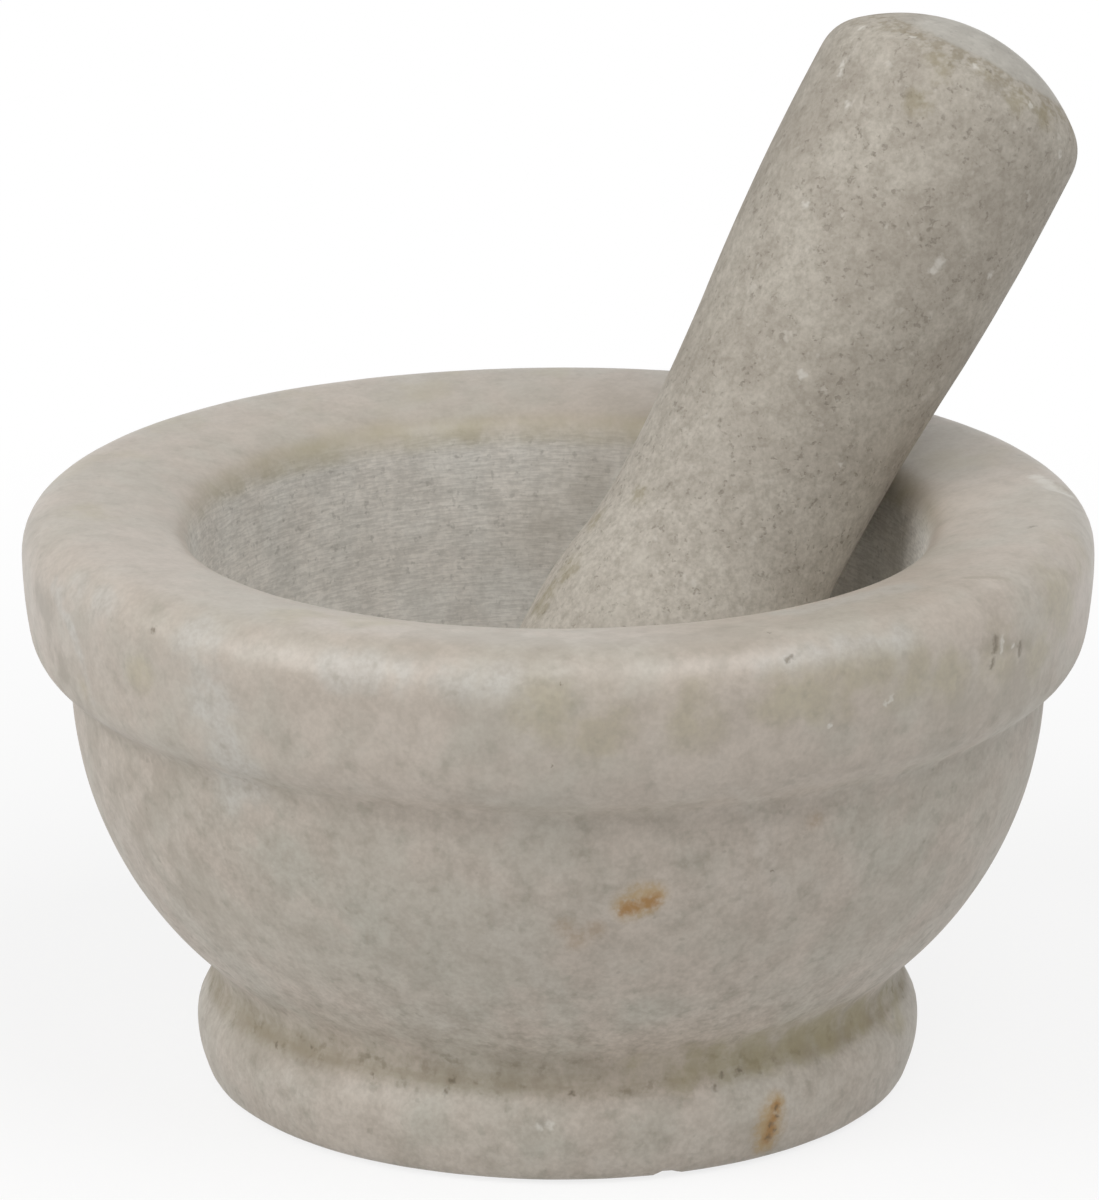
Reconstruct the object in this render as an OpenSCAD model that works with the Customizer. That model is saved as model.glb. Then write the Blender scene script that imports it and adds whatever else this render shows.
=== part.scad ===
// Turned stone mortar with its loose pestle, standing on its foot.
// The origin is the centre of the foot's underside, +Z is up, and the pestle leans towards +X.

/* [Bowl] */
// Height of the bowl, from the table to the crown of the rim
bowl_h = 72.4; // [64:0.2:90]
// Diameter across the rim at its widest
rim_d = 130; // [116:0.5:150]
// Diameter of the mouth, just inside the lip
mouth_d = 88.6; // [76:0.2:96]
// Thickness of stone under the deepest point of the hollow
floor_t = 15; // [9:0.5:20]
// Slope of the hollow's upper wall away from upright, in degrees
wall_slope = 8; // [3:0.5:12]

/* [Rim] */
// Height of the rim, from its crown down to the groove under it
rim_h = 20.6; // [16:0.2:26]
// How far the rim stands out over the body at the groove
rim_step = 5.7; // [3.5:0.1:9]
// Rounding of the rim's upper outside edge
rim_edge_r = 5.5; // [3:0.1:8]
// How far the rim's side draws in towards its lower edge
rim_draw = 0.85; // [0.2:0.05:1.5]
// Height of the rounded lower edge of the rim
rim_under_h = 5.4; // [3.5:0.1:7]
// Radius of the crowned top of the rim
crown_r = 42; // [36:0.5:70]
// Rounding of the lip, where the top of the rim turns down into the hollow
lip_r = 4.5; // [2.5:0.1:6.5]

/* [Body and foot] */
// Diameter of the neck, the narrowest ring above the foot
neck_d = 81.8; // [72:0.2:86]
// Height of the neck above the table
neck_h = 14.7; // [13:0.1:20]
// How far the body swells beyond a straight line from the neck to the groove
body_swell = 5; // [2:0.1:8]
// Diameter of the foot's upper edge
foot_top_d = 87.8; // [86:0.2:96]
// Height of the foot's upper edge above the table
foot_top_h = 11.2; // [8:0.1:12.5]
// Diameter of the foot just above its rounded lower edge
foot_base_d = 86.6; // [78:0.2:96]
// How far the side of the foot swells between its two edges
foot_swell = 0.85; // [0.3:0.05:2]
// Rounding of the foot's lower edge
foot_edge_r = 2; // [1:0.1:4]
// How far the cove between the foot and the neck is hollowed
cove_depth = 0.7; // [0.3:0.05:1.5]

/* [Pestle] */
// Length of the pestle
pestle_len = 125; // [110:0.5:150]
// Diameter of the grip at its widest
grip_d = 34.8; // [32:0.1:40]
// Distance of the grip's widest ring below the upper end
grip_drop = 16; // [12:0.5:28]
// Diameter of the waist
waist_d = 30; // [24:0.1:31]
// Height of the waist above the tip
waist_h = 57; // [48:0.5:70]
// Diameter of the grinding head
head_d = 34; // [32:0.1:40]
// Height above the tip at which the head reaches its full width
head_low_h = 24; // [18:0.5:32]
// Height above the tip at which the head starts to narrow to the waist
head_high_h = 38; // [33:0.5:46]
// Radius of the nose, the tip of the grinding head
nose_r = 12.5; // [8:0.1:15]
// Radius of the domed upper end
dome_r = 23; // [20:0.5:40]
// Rounding of the upper end's edge
end_r = 6; // [2:0.1:8]

/* [Rest] */
// Lean of the pestle from upright as it rests on the lip, in degrees
lean = 32.5; // [26:0.5:38]
// Gap left between the pestle and the bowl at the lip and at the floor
rest_gap = 0.3; // [0.2:0.05:0.6]

/* [Hidden] */
$fn = 160;
// Most that one straight step of an arc turns through, in degrees
arc_step = 5;
bowl_stone = [0.745, 0.706, 0.659];
pestle_stone = [0.655, 0.616, 0.569];

// Rises of arcs over their chords: from the radius, and from the angle that the arc turns through
function rise_of_radius(p, q, r) = r - sqrt(r * r - pow(norm(q - p) / 2, 2));
function rise_of_turn(p, q, turn) = norm(q - p) / 2 * tan(turn / 4);

// Rings of the foot, the neck and the groove under the rim, as [radius, height]
foot_face = [foot_base_d / 2 - foot_edge_r, 0];
foot_low = [foot_base_d / 2, foot_edge_r];
foot_top = [foot_top_d / 2, foot_top_h];
neck = [neck_d / 2, neck_h];
groove = [rim_d / 2 - rim_step, bowl_h - rim_h];

// The rim's side starts upright at its widest ring and curves in to its lower edge
side_top = [rim_d / 2, bowl_h - rim_edge_r];
side_low = [rim_d / 2 - rim_draw, groove.y + rim_under_h];
side_turn = 2 * atan(rim_draw / (side_top.y - side_low.y));
under_turn = 2 * (atan((side_low.x - groove.x) / rim_under_h) - side_turn);

// The crown falls from the rim's rounded outside edge to the lip, and both ends run on smoothly
crown_edge = [rim_d / 2 - rim_edge_r, bowl_h];
crown_c = [crown_edge.x, bowl_h - crown_r];
lip_c_r = mouth_d / 2 + lip_r;
crown_turn = asin((crown_edge.x - lip_c_r) / (crown_r - lip_r));
crown_dir = [-sin(crown_turn), cos(crown_turn)];
lip_c = crown_c + (crown_r - lip_r) * crown_dir;
lip_top = crown_c + crown_r * crown_dir;
lip_turn = 90 - wall_slope - crown_turn;

// The hollow: a sloping wall that runs smoothly into a round bottom
wall_dir = [cos(wall_slope), -sin(wall_slope)];
wall_top = lip_c - lip_r * wall_dir;
hollow_r = (wall_top * wall_dir + floor_t * sin(wall_slope)) / (1 - sin(wall_slope));
hollow_c = [0, floor_t + hollow_r];
wall_low = hollow_c + hollow_r * wall_dir;
hollow_low = [0, floor_t];

// The bowl's outline: rings with the rise of the stretch from each to the next
bowl_rings = [
    [[0, 0], 0],
    [foot_face, rise_of_radius(foot_face, foot_low, foot_edge_r)],
    [foot_low, foot_swell],
    [foot_top, -cove_depth],
    [neck, body_swell],
    [groove, rise_of_turn(groove, side_low, under_turn)],
    [side_low, rise_of_turn(side_low, side_top, side_turn)],
    [side_top, rise_of_radius(side_top, crown_edge, rim_edge_r)],
    [crown_edge, rise_of_turn(crown_edge, lip_top, crown_turn)],
    [lip_top, rise_of_turn(lip_top, wall_top, lip_turn)],
    [wall_top, 0],
    [wall_low, -rise_of_radius(wall_low, hollow_low, hollow_r)],
    [hollow_low, 0],
];

// The pestle's grinding head: a round nose that swells smoothly to the head's full width
head_r = head_d / 2;
nose_c = [0, nose_r];
flank_r = (head_r * head_r - nose_r * nose_r + pow(head_low_h - nose_r, 2)) / (2 * (head_r - nose_r));
flank_c = [head_r - flank_r, head_low_h];
nose_end = nose_c + nose_r * (nose_c - flank_c) / norm(nose_c - flank_c);
head_low = [head_r, head_low_h];
head_high = [head_r, head_high_h];

// The waist and the grip, joined by S curves that run upright at both ends
waist = [waist_d / 2, waist_h];
grip = [grip_d / 2, pestle_len - grip_drop];
neck_mid = (head_high + waist) / 2;
neck_turn = 2 * atan((head_high.x - waist.x) / (waist.y - head_high.y));
neck_rise = rise_of_turn(head_high, neck_mid, neck_turn);
swell_mid = (waist + grip) / 2;
swell_turn = 2 * atan((grip.x - waist.x) / (grip.y - waist.y));
swell_rise = rise_of_turn(waist, swell_mid, swell_turn);

// The upper end: a rounded edge that runs smoothly into a low dome
dome_c = [0, pestle_len - dome_r];
end_reach = grip.x - end_r;
end_c = [end_reach, dome_c.y + sqrt(pow(dome_r - end_r, 2) - end_reach * end_reach)];
end_low = [grip.x, end_c.y];
dome_edge = dome_c + dome_r * (end_c - dome_c) / norm(end_c - dome_c);
dome_top = [0, pestle_len];

// The pestle's outline, from its tip to its upper end
pestle_rings = [
    [[0, 0], rise_of_radius([0, 0], nose_end, nose_r)],
    [nose_end, rise_of_radius(nose_end, head_low, flank_r)],
    [head_low, 0],
    [head_high, neck_rise],
    [neck_mid, -neck_rise],
    [waist, -swell_rise],
    [swell_mid, swell_rise],
    [grip, 0],
    [end_low, rise_of_radius(end_low, dome_edge, end_r)],
    [dome_edge, rise_of_radius(dome_edge, dome_top, dome_r)],
    [dome_top, 0],
];

// Radius of an S curve at height t, between the upright ends p and q
function s_curve_r(t, p, q) =
    let (bend = pow(norm(q - p), 2) / (4 * (q.x - p.x)), from = t < (p.y + q.y) / 2 ? p : q)
    let (lift = abs(bend) - sqrt(bend * bend - pow(t - from.y, 2)))
    from.x + (from == p ? sign(bend) : -sign(bend)) * lift;

// Radius of the pestle at height t above its tip, from the head upwards
function pestle_r(t) =
    t < waist.y ? s_curve_r(max(t, head_high.y), head_high, waist) : s_curve_r(min(t, grip.y), waist, grip);

// Where the pestle rests: its side on the lip and its nose on the hollow's floor.
// Each pass measures the pestle's radius again at the height where it meets the lip.
lean_dir = [sin(lean), cos(lean)];
side_dir = [cos(lean), -sin(lean)];
function nose_place(reach, passes) =
    let (across = (lip_c - hollow_c) * side_dir - reach)
    let (along = -sqrt(pow(hollow_r - nose_r - rest_gap, 2) - across * across))
    let (place = hollow_c + across * side_dir + along * lean_dir)
    let (lip_t = (lip_c - place) * lean_dir + nose_r)
    passes == 0 ? place : nose_place(pestle_r(lip_t) + lip_r + rest_gap, passes - 1);
rest_passes = 12;
tip = nose_place(grip.x + lip_r, rest_passes) - nose_r * lean_dir;

// Points along the stretch from p up to q, which rises to the right of the straight way between them
function stretch(p, q, rise) =
    let (turn = 4 * atan2(2 * rise, norm(q - p)))
    let (radius = norm(q - p) / (2 * sin(turn / 2)))
    let (heading = atan2(q.y - p.y, q.x - p.x) - turn / 2)
    let (centre = p - radius * [sin(heading), -cos(heading)])
    let (steps = ceil(abs(turn) / arc_step))
    [for (i = [0:steps - 1]) let (h = heading + turn * i / steps) centre + radius * [sin(h), -cos(h)]];

// A turned solid: the rings joined by straight lines, swelling arcs and hollowed arcs
module turned(rings) {
    points = [
        for (i = [0:len(rings) - 1])
            let (ring = rings[i], next = rings[(i + 1) % len(rings)])
            each ring[1] == 0 ? [ring[0]] : stretch(ring[0], next[0], ring[1])
    ];
    rotate_extrude() polygon(points);
}

module mortar_bowl() {
    color(bowl_stone) turned(bowl_rings);
}

module pestle() {
    color(pestle_stone) translate([tip.x, 0, tip.y]) rotate([0, lean, 0]) turned(pestle_rings);
}

mortar_bowl();
pestle();
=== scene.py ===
# %% [markdown]
# # A turned stone mortar and its pestle
# Two pieces of stone make this object: a thick bowl on a low foot, and a loose pestle that leans in it. The
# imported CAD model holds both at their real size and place, so it is loaded first and stays as it is.
# Everything after this cell only gives the two stones their surface, their light and a camera.

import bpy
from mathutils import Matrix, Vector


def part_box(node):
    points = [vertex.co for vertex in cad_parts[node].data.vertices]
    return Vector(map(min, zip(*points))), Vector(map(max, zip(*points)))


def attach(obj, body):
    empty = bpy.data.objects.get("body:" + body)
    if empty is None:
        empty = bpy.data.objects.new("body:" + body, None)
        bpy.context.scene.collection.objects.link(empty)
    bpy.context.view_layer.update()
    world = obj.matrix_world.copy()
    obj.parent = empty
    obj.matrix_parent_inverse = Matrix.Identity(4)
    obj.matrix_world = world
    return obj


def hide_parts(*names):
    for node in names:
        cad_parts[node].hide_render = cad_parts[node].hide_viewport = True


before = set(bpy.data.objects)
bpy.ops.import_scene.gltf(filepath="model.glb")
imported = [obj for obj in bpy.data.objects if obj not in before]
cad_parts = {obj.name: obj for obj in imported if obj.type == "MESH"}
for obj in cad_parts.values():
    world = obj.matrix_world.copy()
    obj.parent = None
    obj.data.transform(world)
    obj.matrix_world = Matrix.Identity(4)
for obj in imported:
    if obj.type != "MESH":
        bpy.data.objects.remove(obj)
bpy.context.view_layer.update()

# %% [markdown]
# ## Camera
# The photograph was taken with a long lens from a little above the rim. The lens, the distance and the two
# angles were found by fitting the bowl's rings to their ellipses in the photograph, so the same numbers set
# the camera here. A line of sight through a pixel later says where a mark lies on the stone.

# %% Camera at the photograph's viewing angle
import math

import bpy
import numpy as np
from mathutils import Matrix, Vector, noise
from mathutils.bvhtree import BVHTree

MM = 0.001
PHOTO_SIZE = (1099, 1200)
SENSOR_MM = 36.0
LENS_MM = 260.1
CAMERA_TURN = math.radians(-30.3)
CAMERA_RISE = math.radians(16.89)
CAMERA_DISTANCE = 1051 * MM
CAMERA_TARGET = Vector((-0.88, 0.51, 59.5)) * MM

level_back = Vector((math.sin(CAMERA_TURN), -math.cos(CAMERA_TURN), 0))
camera_back = level_back * math.cos(CAMERA_RISE) + Vector((0, 0, math.sin(CAMERA_RISE)))
camera_stance = camera_back.to_track_quat("Z", "Y")

camera_data = bpy.data.cameras.new("camera")
camera_data.sensor_width = SENSOR_MM
camera_data.lens = LENS_MM
camera = bpy.data.objects.new("camera", camera_data)
camera.location = CAMERA_TARGET + camera_back * CAMERA_DISTANCE
camera.rotation_euler = camera_stance.to_euler()
bpy.context.scene.collection.objects.link(camera)
bpy.context.scene.camera = camera


def line_of_sight(pixel):
    """Direction of the line from the camera through a pixel of the photograph."""
    step = SENSOR_MM / LENS_MM / max(PHOTO_SIZE)
    across = (pixel[0] - PHOTO_SIZE[0] / 2) * step
    up = (PHOTO_SIZE[1] / 2 - pixel[1]) * step
    return (camera_stance @ Vector((across, up, -1))).normalized()


print("camera stands at", [round(x, 3) for x in camera.location])

# %% [markdown]
# ## Outlines
# A turned piece is one outline spun round an axis. The outline is a chain of straight lines and arcs, each
# given by its two ends and by how far the arc stands out from the straight way between them. The same sizes
# drive the CAD model; the bowl's height and width are read back from it, so both always agree.

# %% Lines and arcs of an outline
FINE = 0.2


def stretch(start, end, rise):
    """Fine points from start to end, end left out: a line, or an arc that stands rise to its right."""
    way = np.subtract(end, start)
    chord = np.hypot(*way)
    count = math.ceil(chord / FINE)
    share = np.arange(count) / count
    if rise == 0:
        return start + share[:, None] * way
    turn = 4 * math.atan2(2 * rise, chord)
    first = math.atan2(way[1], way[0]) - turn / 2
    heading = first + turn * share
    radius = chord / (2 * math.sin(turn / 2))
    walked = np.stack([np.sin(heading) - math.sin(first), math.cos(first) - np.cos(heading)], axis=1)
    return start + radius * walked


def rise_of_radius(start, end, radius):
    """How far an arc of a known radius stands out."""
    return radius - math.sqrt(radius ** 2 - math.dist(start, end) ** 2 / 4)


def rise_of_turn(start, end, turn):
    """How far an arc that turns through a known angle stands out."""
    return math.dist(start, end) / 2 * math.tan(turn / 4)


def outline(rings):
    """All points of an outline, from (point, rise to the next point) pairs."""
    parts = [stretch(p, q, rise) for (p, rise), (q, _) in zip(rings, rings[1:])]
    return np.concatenate([*parts, [rings[-1][0]]])


print("an outline has a point every", FINE, "mm")

# %% [markdown]
# ## Sizes of the bowl
# Radius and height of each ring, in millimetres, from the centre of the foot's underside out and up to the
# rim, and down again into the hollow. The rings have the names that a turner would use.

# %% The bowl's sizes
bowl_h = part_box("mortar_bowl")[1].z / MM
rim_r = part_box("mortar_bowl")[1].x / MM
RIM_H = 20.6
RIM_STEP = 5.7
RIM_EDGE_R = 5.5
RIM_DRAW = 0.85
RIM_UNDER_H = 5.4
CROWN_R = 42.0
LIP_R = 4.5
MOUTH_R = 44.3
WALL_SLOPE = math.radians(8)
FLOOR_T = 15.0
FOOT_FACE_R = 41.3
FOOT_EDGE_R = 2.0
FOOT_SWELL = 0.85
FOOT_TOP_R = 43.9
FOOT_TOP_H = 11.2
COVE_DEPTH = 0.7
NECK_R = 40.9
NECK_H = 14.7
BODY_SWELL = 5.0
print("bowl:", round(2 * rim_r, 1), "mm wide and", round(bowl_h, 1), "mm high")

# %% [markdown]
# ## Outline of the bowl
# The rim's side starts upright at its widest ring, the crown runs smoothly into the lip, and the sloping
# wall runs smoothly into the round floor. So the ends of those arcs aren't measured but worked out from the
# sizes.

# %% The bowl's outline
foot_face = (FOOT_FACE_R, 0.0)
foot_low = (FOOT_FACE_R + FOOT_EDGE_R, FOOT_EDGE_R)
foot_top = (FOOT_TOP_R, FOOT_TOP_H)
neck = (NECK_R, NECK_H)
groove = (rim_r - RIM_STEP, bowl_h - RIM_H)
side_low = (rim_r - RIM_DRAW, groove[1] + RIM_UNDER_H)
side_top = (rim_r, bowl_h - RIM_EDGE_R)
side_turn = 2 * math.atan(RIM_DRAW / (side_top[1] - side_low[1]))
under_turn = 2 * (math.atan((side_low[0] - groove[0]) / RIM_UNDER_H) - side_turn)

crown_edge = (rim_r - RIM_EDGE_R, bowl_h)
crown_turn = math.asin((crown_edge[0] - MOUTH_R - LIP_R) / (CROWN_R - LIP_R))
crown_dir = np.array([-math.sin(crown_turn), math.cos(crown_turn)])
crown_c = np.array([crown_edge[0], bowl_h - CROWN_R])
lip_top = crown_c + CROWN_R * crown_dir
wall_dir = np.array([math.cos(WALL_SLOPE), -math.sin(WALL_SLOPE)])
wall_top = crown_c + (CROWN_R - LIP_R) * crown_dir - LIP_R * wall_dir
lip_turn = math.pi / 2 - WALL_SLOPE - crown_turn
hollow_r = (wall_top @ wall_dir + FLOOR_T * math.sin(WALL_SLOPE)) / (1 - math.sin(WALL_SLOPE))
wall_low = np.array([0, FLOOR_T + hollow_r]) + hollow_r * wall_dir
hollow_low = (0.0, FLOOR_T)

bowl_outline = outline([
    ((0.0, 0.0), 0),
    (foot_face, rise_of_radius(foot_face, foot_low, FOOT_EDGE_R)),
    (foot_low, FOOT_SWELL),
    (foot_top, -COVE_DEPTH),
    (neck, BODY_SWELL),
    (groove, rise_of_turn(groove, side_low, under_turn)),
    (side_low, rise_of_turn(side_low, side_top, side_turn)),
    (side_top, rise_of_radius(side_top, crown_edge, RIM_EDGE_R)),
    (crown_edge, rise_of_turn(crown_edge, lip_top, crown_turn)),
    (lip_top, rise_of_turn(lip_top, wall_top, lip_turn)),
    (wall_top, 0),
    (wall_low, -rise_of_radius(wall_low, hollow_low, hollow_r)),
    (hollow_low, 0),
])
print("bowl outline:", len(bowl_outline), "fine points, hollow radius", round(hollow_r, 2), "mm")

# %% [markdown]
# ## Outline of the pestle
# The pestle is drawn upright, with its tip at the origin, and tilted afterwards. Its waist and its grip are
# joined by curves in the form of an S, each made of two arcs that meet half way.

# %% The pestle's outline
PESTLE_LEN = 125.0
NOSE_R = 12.5
HEAD_R = 17.0
HEAD_LOW_H = 24.0
HEAD_HIGH_H = 38.0
WAIST_R = 15.0
WAIST_H = 57.0
GRIP_DROP = 16.0
DOME_R = 23.0
END_R = 6.0

pestle_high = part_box("pestle")[1] / MM
grip = (pestle_high.y, PESTLE_LEN - GRIP_DROP)
flank_r = (HEAD_R ** 2 - NOSE_R ** 2 + (HEAD_LOW_H - NOSE_R) ** 2) / (2 * (HEAD_R - NOSE_R))
nose_c = np.array([0, NOSE_R])
from_flank = nose_c - np.array([HEAD_R - flank_r, HEAD_LOW_H])
nose_end = nose_c + NOSE_R * from_flank / np.hypot(*from_flank)
head_low = (HEAD_R, HEAD_LOW_H)
head_high = (HEAD_R, HEAD_HIGH_H)
waist = (WAIST_R, WAIST_H)
neck_mid = np.add(head_high, waist) / 2
neck_turn = 2 * math.atan((HEAD_R - WAIST_R) / (WAIST_H - HEAD_HIGH_H))
neck_rise = rise_of_turn(head_high, neck_mid, neck_turn)
swell_mid = np.add(waist, grip) / 2
swell_turn = 2 * math.atan((grip[0] - WAIST_R) / (grip[1] - WAIST_H))
swell_rise = rise_of_turn(waist, swell_mid, swell_turn)
end_reach = grip[0] - END_R
dome_c = np.array([0, PESTLE_LEN - DOME_R])
end_c = dome_c + np.array([end_reach, math.sqrt((DOME_R - END_R) ** 2 - end_reach ** 2)])
end_low = (grip[0], end_c[1])
dome_edge = dome_c + DOME_R * (end_c - dome_c) / np.hypot(*(end_c - dome_c))
dome_top = (0.0, PESTLE_LEN)

pestle_outline = outline([
    ((0.0, 0.0), rise_of_radius((0, 0), nose_end, NOSE_R)),
    (nose_end, rise_of_radius(nose_end, head_low, flank_r)),
    (head_low, 0),
    (head_high, neck_rise),
    (neck_mid, -neck_rise),
    (waist, -swell_rise),
    (swell_mid, swell_rise),
    (grip, 0),
    (end_low, rise_of_radius(end_low, dome_edge, END_R)),
    (dome_edge, rise_of_radius(dome_edge, dome_top, DOME_R)),
    (dome_top, 0),
])
print("pestle outline:", len(pestle_outline), "fine points, grip", round(2 * grip[0], 1), "mm thick")

# %% [markdown]
# ## Where the pestle stands
# The tilted pestle's domed end touches the top of its CAD box, and the rounded edge of that end touches the
# box's right side. Both are parts of balls, so the centres of the two balls say where the tip is.

# %% The pestle's tip
LEAN = math.radians(32.5)

lean_turn = Matrix.Rotation(LEAN, 3, "Y")
dome_turned = lean_turn @ Vector((0, 0, dome_c[1]))
edge_turned = lean_turn @ Vector((end_reach, 0, end_c[1]))
tip_x = pestle_high.x - END_R - edge_turned.x
tip_z = pestle_high.z - DOME_R - dome_turned.z
pestle_tip = Vector((tip_x, 0, tip_z))
print("pestle tip in mm:", [round(x, 2) for x in pestle_tip])

# %% [markdown]
# ## Rubbing down
# A turner rubs the stone smooth, and use rubs it further, so no edge is sharp. Averaging each point with
# its neighbours rounds a corner by about the width of the average. The corners at the neck, at the groove
# and on top of the foot are rubbed most, because a rag follows them.

# %% Rub an outline
RUB = 0.7
# Ring, added width of the average and how far that spreads, both in millimetres
EXTRA_RUBS = [(neck, 1.7, 4.5), (groove, 0.4, 3.0), (foot_top, 0.9, 2.4)]


def lengths(points):
    """How far along the outline each point lies."""
    return np.concatenate([[0], np.cumsum(np.hypot(*np.diff(points, axis=0).T))])


def rubbed(points, extra_rubs=()):
    """The points with every corner softened, and more so near some rings; the two ends stay in place."""
    reach = np.full(len(points), RUB)
    for ring, rub, spread in extra_rubs:
        reach += rub * np.exp(-0.5 * (np.hypot(*(points - ring).T) / spread) ** 2)
    along = lengths(points)
    weight = np.exp(-0.5 * ((along[:, None] - along) / reach[:, None]) ** 2)
    soft = weight @ points / weight.sum(axis=1)[:, None]
    soft[[0, -1]] = points[[0, -1]]
    return soft


bowl_soft = rubbed(bowl_outline, EXTRA_RUBS)
pestle_soft = rubbed(pestle_outline)
print("the bowl's outline is", round(lengths(bowl_soft)[-1]), "mm long when rubbed")

# %% [markdown]
# ## Picking the rings
# Not every fine point is needed. The rings that the stone is turned from lie close together where the eye
# goes, and farther apart on the hollow's floor and on the flat underside.

# %% Pick the rings of both stones
RING_GAP = 0.8
FLOOR_GAP = 1.4
UNDERSIDE_GAP = 4.0
PESTLE_GAP = 0.55


def picked(points, gaps):
    """Rings along the outline; gaps holds the wanted gap between rings at each fine point."""
    count = np.concatenate([[0], np.cumsum(np.diff(lengths(points)) / gaps[1:])])
    rings = np.linspace(0, count[-1], math.ceil(count[-1]) + 1)
    return np.stack([np.interp(rings, count, points[:, i]) for i in (0, 1)], axis=1)


low_inside = (np.arange(len(bowl_soft)) > len(bowl_soft) / 2) & (bowl_soft[:, 1] < groove[1])
bowl_gaps = np.where(low_inside, FLOOR_GAP, RING_GAP)
bowl_gaps[bowl_soft[:, 1] < FINE] = UNDERSIDE_GAP
bowl_rings = picked(bowl_soft, bowl_gaps)
pestle_rings = picked(pestle_soft, np.full(len(pestle_soft), PESTLE_GAP))
print("rings:", len(bowl_rings), "on the bowl,", len(pestle_rings), "on the pestle")

# %% [markdown]
# ## Node maths
# The turning and both finishes are sums and products of many nodes. Written one by one they would fill
# pages, so one small class holds a socket and turns Python's own operators into Math nodes.

# %% A socket that can be used in sums
class Wire:
    """A node socket with operators; every other node comes from its node method."""

    def __init__(self, tree, socket=None):
        self.tree = tree
        self.socket = socket

    def node(self, kind, settings=None, inputs=None, output=0):
        """A new node from its type, its settings and its inputs, as a wire from the output that is wanted."""
        made = self.tree.nodes.new(kind)
        for key, value in (settings or {}).items():
            setattr(made, key, value)
        for key, value in (inputs or {}).items():
            if isinstance(value, Wire):
                self.tree.links.new(value.socket, made.inputs[key])
            else:
                made.inputs[key].default_value = value
        return Wire(self.tree, made.outputs[output])

    def maths(self, operation, a, b):
        return self.node("ShaderNodeMath", {"operation": operation}, {0: a, 1: b})

    def __add__(self, other):
        return self.maths("ADD", self, other)

    def __radd__(self, other):
        return self.maths("ADD", other, self)

    def __sub__(self, other):
        return self.maths("SUBTRACT", self, other)

    def __rsub__(self, other):
        return self.maths("SUBTRACT", other, self)

    def __mul__(self, other):
        return self.maths("MULTIPLY", self, other)

    def __rmul__(self, other):
        return self.maths("MULTIPLY", other, self)

    def __truediv__(self, other):
        return self.maths("DIVIDE", self, other)

    def __rtruediv__(self, other):
        return self.maths("DIVIDE", other, self)

    def vector(self, operation, a, b, output=0):
        return self.node("ShaderNodeVectorMath", {"operation": operation}, {0: a, 1: b}, output)

    def scaled(self, way, share):
        """A way, as a vector, made longer or shorter."""
        return self.node("ShaderNodeVectorMath", {"operation": "SCALE"}, {"Vector": way, "Scale": share})

    def larger(self, other):
        """The larger of two masks at each place."""
        return self.maths("MAXIMUM", self, other)

    def fade(self, low, high):
        """0 at low, 1 at high, and a soft slope between; low may be the larger."""
        return self.node("ShaderNodeMapRange", {"interpolation_type": "SMOOTHSTEP"},
                         {"Value": self, "From Min": low, "From Max": high})

    def between(self, low, high):
        """A colour that is low where this mask is 0 and high where it is 1."""
        return self.node("ShaderNodeMix", {"data_type": "RGBA"}, {0: self, 6: low, 7: high}, 2)

    def over(self, mask, colour):
        """This colour with another laid over it where the mask is 1."""
        return mask.between(self, colour)


print("a wire can be added, subtracted, multiplied and divided")

# %% [markdown]
# ## Turning
# A lathe is a rule: every ring of the outline goes once round the axis. A Geometry Nodes tree does just
# that with a grid, whose columns become steps round the axis and whose rows become rings. The same tree
# sinks the surface here and there by two soft noises, because hand-turned stone is never quite true, and it
# only ever sinks it, so the stone stays inside its CAD box. It also keeps how far along the outline each
# point lies, for the finishes to read.

# %% A tree that turns an outline into stone
TREE_INPUTS = {
    "Outline": "Object", "Steps": "Int", "Wobble": "Float", "Wobble Size": "Float", "Dents": "Float",
    "Dent Size": "Float", "Seed": "Float", "Lean": "Vector", "Stand": "Vector", "Stone": "Material",
}
SEAM = 0.0001 * MM


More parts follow.
